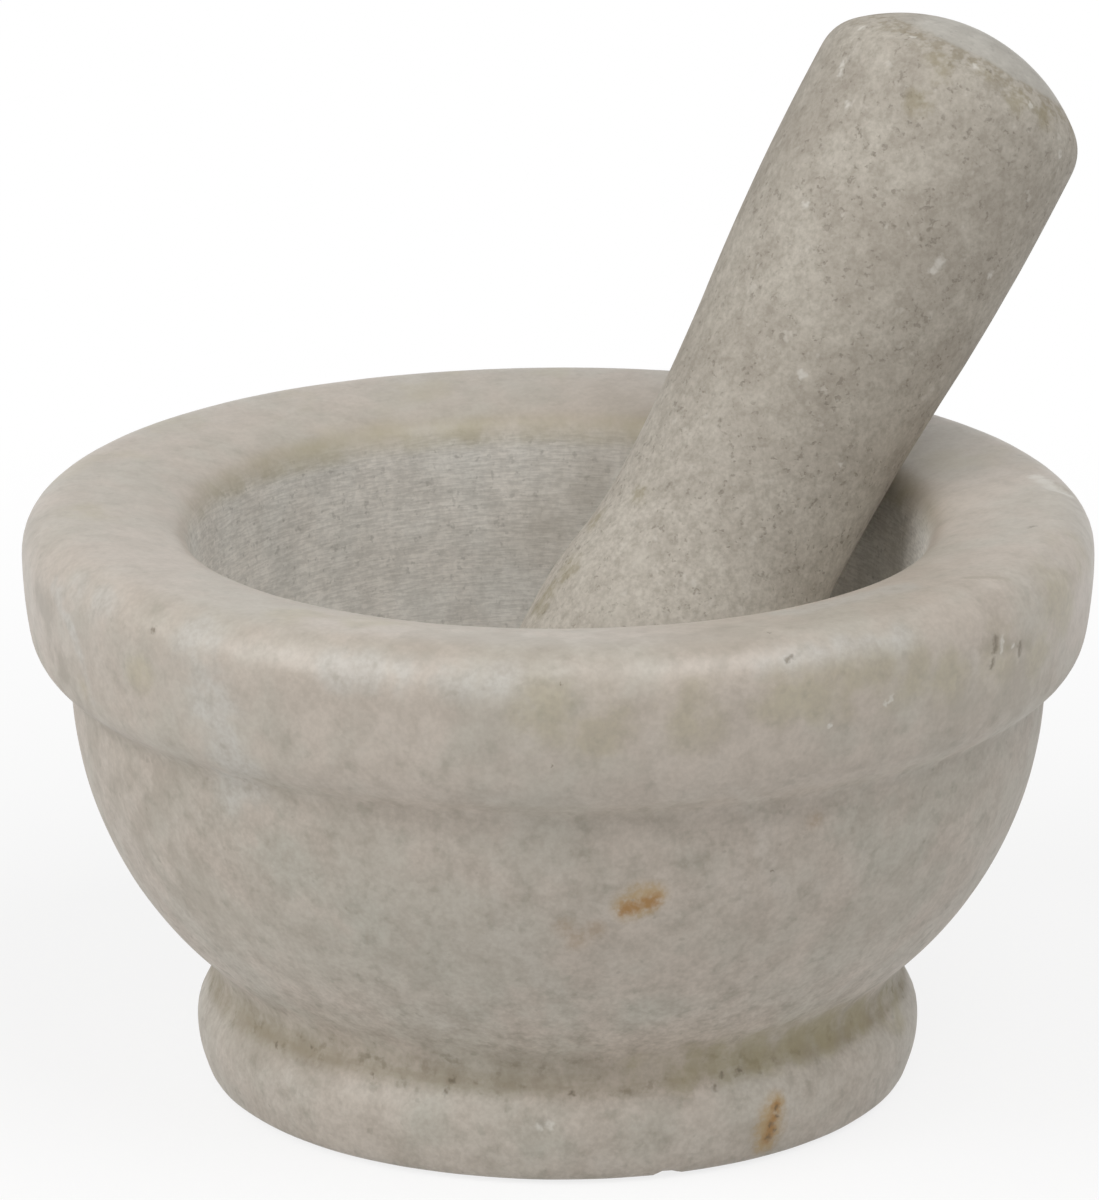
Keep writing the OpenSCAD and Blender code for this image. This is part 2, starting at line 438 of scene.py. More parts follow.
def turning_tree():
    """The tree, and the identifiers of its named inputs."""
    tree = bpy.data.node_groups.new("turn_stone", "GeometryNodeTree")
    keys = {}
    for name, kind in TREE_INPUTS.items():
        socket = tree.interface.new_socket(name, in_out="INPUT", socket_type="NodeSocket" + kind)
        keys[name] = socket.identifier
    tree.interface.new_socket("Stone Mesh", in_out="OUTPUT", socket_type="NodeSocketGeometry")
    blank = Wire(tree)

    def given(name):
        return blank.node("NodeGroupInput", output=name)

    def passed(kind, geometry, settings=None, **inputs):
        return blank.node(kind, settings, {"Geometry": geometry, **inputs})

    line = blank.node("GeometryNodeObjectInfo", None, {"Object": given("Outline")}, "Geometry")
    rows = blank.node("GeometryNodeAttributeDomainSize", {"component": "CURVE"}, {"Geometry": line},
                      "Point Count")
    grid = blank.node("GeometryNodeMeshGrid", None, {"Vertices X": given("Steps") + 1, "Vertices Y": rows})
    index = blank.node("GeometryNodeInputIndex")
    ring = index.maths("FLOORED_MODULO", index, rows)
    angle = (index - ring) / rows * math.tau / given("Steps")

    def from_line(value, kind):
        return passed("GeometryNodeSampleIndex", line, {"data_type": kind}, Value=value, Index=ring)

    place = blank.node("GeometryNodeInputPosition")
    turned = place.node("ShaderNodeVectorRotate", {"rotation_type": "Z_AXIS"},
                        {"Vector": from_line(place, "FLOAT_VECTOR"), "Angle": angle})
    lathe = passed("GeometryNodeSetPosition", grid, Position=turned)
    along = from_line(blank.node("GeometryNodeSplineParameter", output="Length"), "FLOAT")
    marked = passed("GeometryNodeStoreNamedAttribute", lathe, {"data_type": "FLOAT", "domain": "POINT"},
                    Name="along", Value=along)
    closed = passed("GeometryNodeMergeByDistance", marked, Distance=SEAM)

    def sunk(amount, size):
        soft = {"Vector": place, "W": given("Seed"), "Scale": 1 / given(size), "Detail": 1.0}
        return place.node("ShaderNodeTexNoise", {"noise_dimensions": "4D"}, soft) * given(amount)

    depth = sunk("Wobble", "Wobble Size") + sunk("Dents", "Dent Size")
    inward = place.scaled(blank.node("GeometryNodeInputNormal"), 0 - depth)
    worn = passed("GeometryNodeSetPosition", closed, Offset=inward)
    stood = passed("GeometryNodeTransform", worn, Translation=given("Stand"), Rotation=given("Lean"))
    smooth = passed("GeometryNodeSetShadeSmooth", stood)
    whole = passed("GeometryNodeRealizeInstances", smooth)
    stone = passed("GeometryNodeSetMaterial", whole, Material=given("Stone"))
    tree.links.new(stone.socket, tree.nodes.new("NodeGroupOutput").inputs[0])
    return tree, keys


turn_stone, turn_keys = turning_tree()
print("turning tree:", len(turn_stone.nodes), "nodes")

# %% [markdown]
# ## The two stones
# The tree makes each stone once; what it made becomes a plain mesh, and the tree is taken off again. The
# two finishes are named here, and get their nodes further on.

# %% Turn the bowl and the pestle
UPRIGHT = (0.0, 0.0, 0.0)
TABLE_CENTRE = (0.0, 0.0, 0.0)


def turn(name, rings, stone, **sizes):
    """A mesh object: the rings, in millimetres, turned into a stone by the tree."""
    curve = bpy.data.curves.new(name + "_outline", "CURVE")
    curve.dimensions = "3D"
    spline = curve.splines.new("POLY")
    spline.points.add(len(rings) - 1)
    for point, (radius, height) in zip(spline.points, rings):
        point.co = (radius * MM, 0, height * MM, 1)
    line = bpy.data.objects.new(name + "_outline", curve)
    holder = bpy.data.objects.new(name + "_holder", bpy.data.meshes.new(name + "_holder"))
    for helper in (line, holder):
        bpy.context.scene.collection.objects.link(helper)
    modifier = holder.modifiers.new("turn", "NODES")
    modifier.node_group = turn_stone
    for key, value in {"Outline": line, "Stone": stone, **sizes}.items():
        modifier[turn_keys[key.replace("_", " ")]] = value
    evaluated = holder.evaluated_get(bpy.context.evaluated_depsgraph_get())
    piece = bpy.data.objects.new(name, bpy.data.meshes.new_from_object(evaluated))
    piece.data.name = name
    bpy.context.scene.collection.objects.link(piece)
    for helper in (line, holder):
        bpy.data.objects.remove(helper)
    print(name, "has", sum(len(face.vertices) - 2 for face in piece.data.polygons), "triangles")
    return piece


bowl_stone = bpy.data.materials.new("bowl_stone")
pestle_stone = bpy.data.materials.new("pestle_stone")
bowl = turn("stone_bowl", bowl_rings, bowl_stone, Steps=440, Wobble=0.25 * MM, Wobble_Size=45 * MM,
            Dents=0.12 * MM, Dent_Size=9 * MM, Seed=3.0, Lean=UPRIGHT, Stand=TABLE_CENTRE)
pestle = turn("stone_pestle", pestle_rings, pestle_stone, Steps=220, Wobble=0.10 * MM, Wobble_Size=30 * MM,
              Dents=0.10 * MM, Dent_Size=6 * MM, Seed=8.0, Lean=(0.0, LEAN, 0.0),
              Stand=tuple(pestle_tip * MM))

# %% [markdown]
# ## Finding places on the stone
# Marks of use, painted shade and painted highlights are placed where the photograph shows them: a line of
# sight through a pixel meets the stone at one point, and the mark belongs to that point, whatever side it is
# seen from later. A line that just misses the stone takes the nearest point instead.

# %% From pixels to points on a stone
def surface_of(piece):
    """The faces of a piece, ready to be searched."""
    mesh = piece.data
    return BVHTree.FromPolygons([v.co for v in mesh.vertices], [f.vertices for f in mesh.polygons])


def places(surface, marks):
    """(point on the stone, reach) for each (pixel across, pixel down, reach in millimetres)."""
    found = []
    for across, down, reach in marks:
        sight = line_of_sight((across, down))
        point = surface.ray_cast(camera.location, sight)[0]
        if point is None:
            point = surface.find_nearest(camera.location + sight * CAMERA_DISTANCE)[0]
        found.append((point, reach * MM))
    return found


bowl_surface = surface_of(bowl)
pestle_surface = surface_of(pestle)
(mid_point, _), = places(bowl_surface, [(PHOTO_SIZE[0] / 2, PHOTO_SIZE[1] / 2, 1.0)])
print("the photograph's middle lies on the bowl at", [round(x, 3) for x in mid_point])

# %% [markdown]
# ## Painting wide stains and painted light
# Wide, soft stains, and the painted shade and highlights, are painted on the mesh's own points, as a number
# from 0 to 1 that a finish can read. A vertex group would do too, but a named attribute goes straight to the
# shader.

# %% Paint on the points of a piece
def row(start, end, reach, count):
    """Marks in a row from one pixel to another, all with the same reach."""
    return [(across, down, reach) for across, down in np.linspace(start, end, count)]


def nearness(piece, surface, marks):
    """For each point of a piece, 1 at a mark, falling to 0 at the mark's reach."""
    points = np.empty(3 * len(piece.data.vertices))
    piece.data.vertices.foreach_get("co", points)
    near = np.zeros(len(piece.data.vertices))
    for point, reach in places(surface, marks):
        away = np.linalg.norm(points.reshape(-1, 3) - np.array(point), axis=1)
        near = np.maximum(near, 1 - away / reach)
    return near


def paint(piece, surface, name, marks):
    """Keep the nearness of marks as a named attribute of a piece."""
    near = nearness(piece, surface, marks)
    piece.data.attributes.new(name, "FLOAT", "POINT").data.foreach_set("value", near)
    print(name, "is painted on", int((near > 0).sum()), "points of", piece.name)


# %% [markdown]
# ## Ways along the outline
# A finish has to know where the rim ends and the body begins. Each stone carries how far along its outline
# a point lies, so a named ring becomes one number, in millimetres, to compare with.

# %% How far along the named rings lie
def along_of(points, ring):
    """How far along an outline, in millimetres, a named ring lies."""
    return lengths(points)[np.argmin(np.hypot(*(points - ring).T))]


FOOT_TOP_AT = along_of(bowl_soft, foot_top)
NECK_AT = along_of(bowl_soft, neck)
GROOVE_AT = along_of(bowl_soft, groove)
SIDE_TOP_AT = along_of(bowl_soft, side_top)
CROWN_EDGE_AT = along_of(bowl_soft, crown_edge)
LIP_TOP_AT = along_of(bowl_soft, lip_top)
WALL_TOP_AT = along_of(bowl_soft, wall_top)
WAIST_AT = along_of(pestle_soft, waist)
GRIP_AT = along_of(pestle_soft, grip)
DOME_EDGE_AT = along_of(pestle_soft, dome_edge)
print("groove", round(GROOVE_AT, 1), "and lip", round(LIP_TOP_AT, 1), "mm along the bowl's outline")

# %% [markdown]
# ## Chips
# A few knocks have broken small chips off the edges. Each chip is a shallow scoop: the points near it sink
# along the surface's own direction, and a fine noise leaves the scoop's floor rough.

# %% Chip the edges
CHIP_GRAIN = 1.1 * MM
CHIP_ROUGH = 0.6
CHIP_STEEP = 2
BOWL_CHIP_DEPTH = 0.35 * MM
PESTLE_CHIP_DEPTH = 0.18 * MM
BOWL_CHIPS = [(1056, 487, 2.2), (668, 1173, 1.6), (684, 1172, 1.4), (712, 1169, 1.3), (545, 1127, 1.3)]
PESTLE_CHIPS = [(905, 34, 1.8), (968, 62, 1.6), (1010, 92, 2.0), (1046, 118, 1.8)]


def chip(piece, surface, marks, depth):
    """Sink the points of a piece that lie near the marks."""
    near = nearness(piece, surface, marks)
    hit = np.flatnonzero(near > 0)
    sunk = [(vertex.co.copy(), vertex.normal.copy()) for vertex in (piece.data.vertices[i] for i in hit)]
    for i, (place, out) in zip(hit, sunk):
        rough = 1 + CHIP_ROUGH * noise.noise(place / CHIP_GRAIN)
        piece.data.vertices[i].co = place - out * (depth * rough * min(1.0, CHIP_STEEP * near[i]))
    print(piece.name, "has", len(marks), "chips, over", len(hit), "points")


chip(bowl, bowl_surface, BOWL_CHIPS, BOWL_CHIP_DEPTH)
chip(pestle, pestle_surface, PESTLE_CHIPS, PESTLE_CHIP_DEPTH)

# %% [markdown]
# ## Patterns in stone
# Stone shows clouds of colour within clouds, and grains. Each is a noise of a real size in millimetres,
# read at the surface's own place, and turned into a mask by a soft threshold. Noise stays close to one
# half, so a threshold such as 0.4 to 0.6 already gives both full dark and full light.

# %% Colours, clouds and coats
def srgb(red, green, blue):
    """A colour as a screen shows it, from 0 to 255, as the linear colour that shaders take."""
    shares = [value / 255 for value in (red, green, blue)]
    return (*[s / 12.92 if s <= 0.04045 else ((s + 0.055) / 1.055) ** 2.4 for s in shares], 1.0)


def cloud(place, size, detail=2.0, rough=0.5, twist=0.0, output=0):
    """Soft noise from 0 to 1, with blots of about that size in millimetres."""
    sizes = {"Scale": 1 / (size * MM), "Detail": detail, "Roughness": rough, "Distortion": twist}
    return place.node("ShaderNodeTexNoise", None, {"Vector": place, **sizes}, output)


def shaken(place, size, reach):
    """Places moved about by up to reach, both in millimetres, so that what is drawn there gets ragged."""
    wander = place.vector("SUBTRACT", cloud(place, size, 1.0, 0.6, 0.0, 1), (0.5, 0.5, 0.5))
    return place.vector("ADD", place, wander.vector("MULTIPLY", wander, (2 * reach * MM,) * 3))


def coated(colour, coats):
    """A colour with coats laid over it in turn, each a mask, its strength and the coat's own colour."""
    for mask, strength, coat in coats:
        colour = colour.over(mask * strength, coat)
    return colour


print("mid grey on a screen is", round(srgb(128, 128, 128)[0], 3), "to a shader")

# %% [markdown]
# ## Marks in stone
# Pits and flecks are spots round a point, scratches are spots drawn out along a line, and stains, painted
# shade and painted highlights are the painted numbers, broken up by a noise so that they don't look
# sprayed on.

# %% Spots, streaks, stains and painted light
PATCH_GRAIN = (0.35, 0.65)
PATCH_LEAST = 0.35
PATCH_EDGE = (0.10, 0.75)


def spots(place, marks, core):
    """A mask that is 1 at each mark, out to the share core of its reach, and fades to 0 at its reach."""
    mask = 0.0
    for point, reach in marks:
        away = place.vector("DISTANCE", place, point, 1)
        mask = away.fade(reach, reach * core).larger(mask)
    return mask


def streaks(place, surface, marks):
    """A mask that is 1 along each (first pixel, last pixel, reach) and fades to 0 at its reach."""
    mask = 0.0
    for first, last, reach in marks:
        (start, _), (end, _) = places(surface, [(*first, reach), (*last, reach)])
        way = end - start
        past = place.vector("SUBTRACT", place, start)
        share = past.vector("DOT_PRODUCT", past, way, 1) / way.length_squared
        share = share.node("ShaderNodeClamp", None, {"Value": share})
        away = past.vector("DISTANCE", past, share.scaled(way, share), 1)
        mask = away.fade(reach * MM, 0).larger(mask)
    return mask


def painted(place, name):
    """The number that was painted on a piece under a name."""
    return place.node("ShaderNodeAttribute", {"attribute_name": name}, output="Fac")


def stain_and_light_patch(name, ragged):
    """A painted stain, painted shade or painted highlight, broken up by a noise."""
    return (painted(ragged, name) * (ragged.fade(*PATCH_GRAIN) + PATCH_LEAST)).fade(*PATCH_EDGE)


print("a stain keeps", PATCH_LEAST, "of its strength where its noise is least")

# %% [markdown]
# ## Joining a finish to its stone
# Both finishes start from the same two readings, the place on the piece and the way along its outline, and
# end in the same three sockets. The fine roughness of stone is far too small to model, so it is a bump.

# %% Start and end of a finish
def start_finish(stone):
    """Wires for the place on a piece and, in millimetres, the way along its outline."""
    stone.use_nodes = True
    blank = Wire(stone.node_tree)
    place = blank.node("ShaderNodeTexCoord", output="Object")
    return place, painted(blank, "along") / MM


def end_finish(stone, colour, shine, height):
    """Join the colour, the roughness and the height, in millimetres, to a stone's shader."""
    bump = height.node("ShaderNodeBump", None, {"Strength": 1.0, "Distance": MM, "Height": height})
    shader = stone.node_tree.nodes["Principled BSDF"]
    for socket, wire in (("Base Color", colour), ("Roughness", shine), ("Normal", bump)):
        stone.node_tree.links.new(wire.socket, shader.inputs[socket])
    print(stone.name, "is a finish of", len(stone.node_tree.nodes), "nodes")


# %% [markdown]
# ## The bowl's stone
# The bowl is a fine-grained, marble-like stone: warm grey, with pinkish and greenish clouds a few
# centimetres wide, soft darker spots of one to three millimetres, and paler veils. The rim is rubbed almost
# to a polish, the hollow is ground, and dirt has settled in the cove. Each of these zones is a mask between
# two rings.

# %% Zones of the bowl
place, along = start_finish(bowl_stone)
back = place.vector("DOT_PRODUCT", place, tuple(level_back), 1).fade(5 * MM, -25 * MM)
hollow = along.fade(LIP_TOP_AT + 2.0, WALL_TOP_AT + 0.5)
outside = 1 - hollow
lip_band = along.fade(LIP_TOP_AT + 0.3, LIP_TOP_AT + 2.8) * along.fade(WALL_TOP_AT + 1.2, WALL_TOP_AT - 0.8)
rim = along.fade(GROOVE_AT, GROOVE_AT + 3.0)
rim_top = along.fade(SIDE_TOP_AT + 3.0, CROWN_EDGE_AT) * along.fade(WALL_TOP_AT, LIP_TOP_AT)
polish = along.fade(GROOVE_AT + 5.0, GROOVE_AT + 15.0)
groove_line = along.fade(GROOVE_AT - 2.2, GROOVE_AT) * along.fade(GROOVE_AT + 1.6, GROOVE_AT)
body_band = along.fade(NECK_AT, NECK_AT + 14.0) * along.fade(GROOVE_AT + 2.0, GROOVE_AT - 1.0)
lower = along.fade(NECK_AT + 24.0, NECK_AT + 6.0)
cove = along.fade(NECK_AT + 4.0, FOOT_TOP_AT + 0.6) * along.fade(FOOT_TOP_AT - 0.6, FOOT_TOP_AT + 1.6)
foot = along.fade(FOOT_TOP_AT + 0.5, FOOT_TOP_AT - 1.5)
print("zones of the bowl take", len(bowl_stone.node_tree.nodes), "nodes")

# %% [markdown]
# ## Stains and painted light of the bowl
# Years of use have left olive, cool and rusty stains on the bowl, each at a place of its own, and there is
# paler stone. Painted shade and painted highlights lie among them, and the pestle's shadow is painted on
# the hollow's wall. Each is a few soft marks that run together, given by pixels of the photograph and their
# reach in millimetres.

# %% Wide stains and painted light of the bowl
WIDE_STAINS_AND_LIGHT = {
    "olive": [(545, 718, 7), (600, 730, 7), (690, 715, 7), *row((780, 698), (950, 672), 6, 6), (1000, 655, 7),
              (1040, 650, 6), (1062, 600, 8), (1078, 555, 7), (300, 615, 6), (370, 622, 7), (95, 512, 6),
              (140, 675, 4), (84, 688, 2.5), *row((770, 1058), (880, 1010), 4, 5)],
    # These marks paint shade on the rim's left end, where it turns away from the light.
    "worn": [*row((40, 596), (56, 650), 4.5, 4), *row((60, 662), (80, 704), 4.0, 4)],
    # These marks paint shade on the rim, under the groove, on the body and in the cove, and a smear by the
    # foot's rust.
    "painted_shade_and_smear": [(600, 932, 2), (568, 922, 1.6), *row((92, 742), (170, 792), 8, 5),
              *row((430, 640), (720, 636), 9, 6), *row((970, 715), (1050, 680), 7, 3),
              *row((125, 800), (205, 900), 9, 4), *row((213, 1028), (330, 1062), 5, 6),
              (766, 1128, 4.0), (763, 1142, 3.5)],
    "cool": [(235, 800, 7), (270, 840, 8), (310, 885, 8), (360, 925, 9), (420, 960, 9), (480, 1000, 8),
             (560, 1018, 8), (640, 1015, 8), (870, 820, 9), (900, 850, 9), (940, 880, 7), (420, 1130, 6),
             (545, 1135, 7), (650, 1130, 6)],
    # These marks are paler stone; those along the rim's upper front edge paint a highlight there.
    "pale": [*row((196, 645), (240, 785), 7, 5), *row((340, 668), (500, 678), 4.5, 6),
             (75, 590, 4), (105, 600, 5), *row((55, 584), (64, 612), 2.2, 4),
             *row((67, 618), (80, 655), 1.8, 6), *row((81, 660), (92, 700), 1.5, 6),
             *row((790, 611), (895, 588), 5, 5), *row((760, 664), (900, 640), 3.5, 6)],
    # These marks paint the pestle's shadow on the hollow's wall beside it.
    "painted_pestle_shadow": row((650, 425), (560, 530), 11, 5),
    "rust": [(630, 906, 3.4), (642, 900, 3.8), (653, 896, 3.0),
             (775, 1104, 2.6), (771, 1117, 3.4), (769, 1130, 3.8), (766, 1142, 3.0)],
    "rust_core": [(624, 912, 1.3), (629, 908, 2.0), (636, 905, 1.5), (646, 903, 1.5), (653, 901, 1.9),
                  (776, 1106, 1.2), (774, 1116, 1.4), (771, 1127, 1.4), (768, 1138, 1.5)],
    "cove_olive": [(636, 1066, 3.5), (664, 1064, 4.5), *row((690, 1062), (890, 1004), 5.5, 7)],
    "faint_rust": [(566, 928, 2.4), (576, 940, 2.6), (594, 930, 2.4), (815, 820, 2.0)],
}
for name, marks in WIDE_STAINS_AND_LIGHT.items():
    paint(bowl, bowl_surface, name, marks)

# %% [markdown]
# ## Clouds of the bowl
# Three noises of different sizes make the clouds. Two close tones, one pinkish and one greenish, change
# over with them, a veil of paler stone lies over both, and the painted stains, painted shade and painted
# highlights come next.

# %% Clouds of the bowl
PINKISH = srgb(204, 193, 181)
GREENISH = srgb(196, 190, 178)
VEIL = srgb(210, 204, 195)
PALE_FOOT = srgb(212, 206, 196)
COOL = srgb(191, 190, 178)
PALE_STONE_AND_HIGHLIGHT = srgb(214, 213, 208)
OLIVE = srgb(190, 181, 152)
# Colour of the painted shade, and of the smear by the foot's rust
SHADE_AND_SMEAR = srgb(170, 161, 147)
LEFT_END_SHADE = srgb(162, 154, 141)

broad = cloud(place, 24, 2.0, 0.5, 0.6)
middle = cloud(place, 7, 2.0, 0.55)
patches = cloud(place, 4.2, 3.0, 0.6)
cloudy = middle * 0.5 + patches * 0.5
tone = (broad * 0.55 + middle * 0.45).fade(0.40, 0.60)
veil = cloud(place, 14, 3.0, 0.6, 1.0).fade(0.52, 0.74)
colour = coated(tone.between(PINKISH, GREENISH), [
    (veil, 0.35, VEIL),
    (foot, 0.30, PALE_FOOT),
    (stain_and_light_patch("cool", cloudy), 0.55, COOL),
    # Paler stone, and a painted highlight along the rim's upper front edge
    (stain_and_light_patch("pale", cloudy), 0.62, PALE_STONE_AND_HIGHLIGHT),
    (stain_and_light_patch("olive", cloudy), 0.62, OLIVE),
    # Painted shade here and there, and a smear by the foot's rust
    (stain_and_light_patch("painted_shade_and_smear", cloudy), 0.45, SHADE_AND_SMEAR),
    # Painted shade on the rim's left end
    (stain_and_light_patch("worn", cloudy), 0.75, LEFT_END_SHADE),
])
print("with its clouds:", len(bowl_stone.node_tree.nodes), "nodes")

# %% [markdown]
# ## Mottle of the bowl
# Close to, the stone is mottled by finer noises. Rubbing calms the mottle on the rim and the foot, and the
# low body shows it most, so one mask stretches or squeezes it round its own mean.

# %% Spots and grain of the bowl
MOTTLE_MEAN = 0.40
MOTTLE_DARK = srgb(164, 154, 141)
SPOT_DARK = srgb(140, 136, 121)

blots = cloud(place, 2.0, 3.0, 0.55)
grain = cloud(place, 0.7, 2.0, 0.6)
dark_spots = blots.fade(0.54, 0.72) * middle.fade(0.34, 0.56)
mottle = patches.fade(0.36, 0.66) * 0.34 + grain.fade(0.32, 0.68) * 0.30 + blots.fade(0.36, 0.66) * 0.16
contrast = 0.82 + lower * 0.38 - rim * 0.16 - rim_top * 0.14 - foot * 0.36
calmed = (mottle - MOTTLE_MEAN) * contrast + MOTTLE_MEAN
colour = colour.over(calmed + rim_top * 0.06 + body_band * 0.08, MOTTLE_DARK)
colour = colour.over(dark_spots * contrast * 0.34, SPOT_DARK)
print("with its mottle:", len(bowl_stone.node_tree.nodes), "nodes")

# %% [markdown]
# ## The ground hollow
# Grinding has left the hollow paler, colder and duller, with fine dashes that run round it. A noise makes
# such dashes if its space is squeezed: long across, and short along the outline.

# %% Ground hollow
DASH_LENGTH = 2.2
DASH_HEIGHT = 0.30
SETTLING_SCALE = 0.18
GROUND_WARM = srgb(234, 229, 221)
GROUND_COLD = srgb(231, 228, 221)
DASH_DARK = srgb(156, 152, 145)
GROUND_DARK = srgb(160, 156, 148)
SPECK_DARK = srgb(128, 124, 117)

flat_place = place.vector("MULTIPLY", place, (1 / (DASH_LENGTH * MM), 1 / (DASH_LENGTH * MM), 0))
rising = along.node("ShaderNodeCombineXYZ", None, {"Z": along / DASH_HEIGHT})
ringed = flat_place.vector("ADD", flat_place, rising)


def ring_noise(scale, detail):
    """Noise in the squeezed space, drawn out round the bowl."""
    return ringed.node("ShaderNodeTexNoise", None,
                       {"Vector": ringed, "Scale": scale, "Detail": detail, "Roughness": 0.6})


dashes = ring_noise(1.0, 2.0)
settling = ring_noise(SETTLING_SCALE, 3.0)
inside = tone.between(GROUND_WARM, GROUND_COLD)
inside = inside.over(dashes.fade(0.38, 0.64) * 0.29, DASH_DARK)
inside = inside.over(patches.fade(0.36, 0.66) * 0.19 + grain.fade(0.36, 0.64) * 0.18, GROUND_DARK)
inside = inside.over(cloud(place, 1.1, 2.0, 0.6).fade(0.60, 0.72) * 0.32, SPECK_DARK)
colour = colour.over(hollow, inside)
print("with its ground hollow:", len(bowl_stone.node_tree.nodes), "nodes")

# %% [markdown]
# ## Dirt, rust and a painted shadow in the bowl
# Dirt stays where a cloth doesn't reach: under the lip, in the groove and most of all in the cove. Iron in
# the stone has rusted at a few spots, with a paler fringe round a darker core. The pestle's shadow is
# painted on the hollow's wall beside it.

# %% Dirt, rust and the pestle's painted shadow on the bowl
DIRT = srgb(146, 135, 112)
DEEP_DIRT = srgb(118, 107, 82)
COVE_OLIVE = srgb(168, 158, 120)
LIP_DIRT = srgb(172, 162, 130)
# Colour of the pestle's painted shadow
PESTLE_SHADOW_TINT = srgb(160, 149, 132)
FAINT_RUST = srgb(160, 132, 98)
RUST = srgb(182, 150, 94)
RUST_CORE = srgb(158, 110, 42)
REAR_OLIVE = srgb(180, 171, 146)
PINHOLE = srgb(124, 116, 100)

patchy = (cloudy * 0.7 + blots * 0.3).fade(0.36, 0.62)
speckled = (blots + grain) * 0.2 + 0.3
settled_dirt = (cloudy * 0.6 + settling * 0.4).fade(0.38, 0.60) * 0.40 + 0.34
lip_dirt = cloudy.fade(0.36, 0.60) * 0.35 + 0.18
pestle_shadow_depth = cloudy.fade(0.30, 0.70) * 0.15 + 0.22
rear_olive = cloud(place, 12, 2.0, 0.5).fade(0.54, 0.68) * rim * back * outside
pinholes = cloud(place, 1.3, 1.0, 0.5).fade(0.72, 0.80) * outside * (1 - rim * 0.6)
colour = coated(colour, [
    (lip_band * back, lip_dirt, LIP_DIRT),
    (groove_line * patchy, 0.12, DIRT),
    # The pestle's shadow, painted on the hollow's wall beside it
    (painted(place, "painted_pestle_shadow").fade(0.0, 1.0), pestle_shadow_depth, PESTLE_SHADOW_TINT),
    (cove, settled_dirt, DIRT),
    (cove * blots.fade(0.58, 0.70), 0.40, DEEP_DIRT),
    (stain_and_light_patch("cove_olive", cloudy), 0.40, COVE_OLIVE),
    (stain_and_light_patch("faint_rust", speckled), 0.32, FAINT_RUST),
    (stain_and_light_patch("rust", speckled), 0.65, RUST),
    (stain_and_light_patch("rust_core", speckled), 0.70, RUST_CORE),
    (rear_olive, 0.35, REAR_OLIVE),
    (pinholes, 0.25, PINHOLE),
])
print("with its dirt and rust:", len(bowl_stone.node_tree.nodes), "nodes")

# %% [markdown]
# ## Pits and nicks of the bowl
# The smallest marks are seen best close to: pits in the cove, scratches on the rim's side, and pale flecks
# where the stone was knocked. They are drawn in the shader, because they are finer than the mesh.

# %% Pits and nicks of the bowl
PITS = [(154, 630, 0.6), (770, 633, 0.35), (562, 683, 0.3), (551, 765, 0.3), (772, 871, 0.3),
        (276, 1045, 0.6), (312, 1048, 0.5), (372, 1075, 0.5), (453, 1080, 0.7), (445, 1092, 0.7),
        (572, 1093, 0.6), (722, 1075, 0.6), (715, 1087, 0.7), (740, 1070, 0.6), (776, 1108, 0.6),
        (777, 1116, 0.5), (770, 1125, 0.6), (775, 1130, 0.5), (768, 1137, 0.7)]
SCRATCHES = [((996, 638), (995, 650), 0.85), ((993, 661), (992, 667), 0.7), ((1020, 644), (1019, 654), 0.75),
             ((786, 660), (792, 657), 0.5), ((1029, 528), (1035, 526), 0.4)]
FAINT_MARKS = [((968, 578), (1006, 579), 1.1), ((985, 646), (1030, 644), 1.6)]
FLECKS = [(1036, 477, 1.6), (1044, 481, 1.9), (1052, 485, 2.1), (1060, 489, 2.1), (1066, 493, 1.7),
          (1013, 645, 0.5), (885, 704, 0.5), (830, 725, 0.5), (549, 1126, 0.8), (540, 1127, 0.7)]
PALE_SCRATCHES = [((1002, 637), (1002, 652), 0.5), ((886, 705), (892, 699), 0.5)]
FAINT_MARK = srgb(140, 131, 110)
PIT_DARK = srgb(98, 86, 66)
FLECK_PALE = srgb(222, 219, 211)

ragged = shaken(place, 0.7, 0.55)
pitted = spots(ragged, places(bowl_surface, PITS), 0.1).larger(streaks(ragged, bowl_surface, SCRATCHES))
flecked = spots(ragged, places(bowl_surface, FLECKS), 0.2)
flecked = flecked.larger(streaks(ragged, bowl_surface, PALE_SCRATCHES))
colour = coated(colour, [
    (streaks(ragged, bowl_surface, FAINT_MARKS), 0.40, FAINT_MARK),
    (pitted, 0.64, PIT_DARK),
    (flecked, 0.62, FLECK_PALE),
])
print(len(PITS), "pits and", len(FLECKS), "flecks:", len(bowl_stone.node_tree.nodes), "nodes")

# %% [markdown]
# ## Feel of the bowl
# A finger would find the rim smooth and the hollow rough. Grain and blots stand a few hundredths of a
# millimetre high, and the dashes of the grinding twice as much.

# %% Feel of the bowl's surface
height = grain * 0.020 + blots * 0.020 + dashes * hollow * 0.040
shine = 0.48 - polish * 0.14 + hollow * 0.34 + cove * 0.15 + patches * 0.10
end_finish(bowl_stone, colour, shine, height)

# %% [markdown]
# ## The pestle's stone
# The pestle is a browner, more open stone. It was left dull, so each grain shows: dark specks of half a
# millimetre, white flecks of one or two, and soft patches between. Towards the waist it is painted paler,
# painted light that stands in for the light the bowl throws up onto it.

# %% Clouds, grain and flecks of the pestle
BROWN_PALE = srgb(193, 186, 174)
BROWN_GREY = srgb(175, 167, 155)
WAIST_BOUNCE_LIGHT = srgb(210, 203, 192)
GRAIN_DARK = srgb(138, 130, 117)
PESTLE_SPECK = srgb(110, 102, 89)
PESTLE_FLECK = srgb(212, 207, 198)

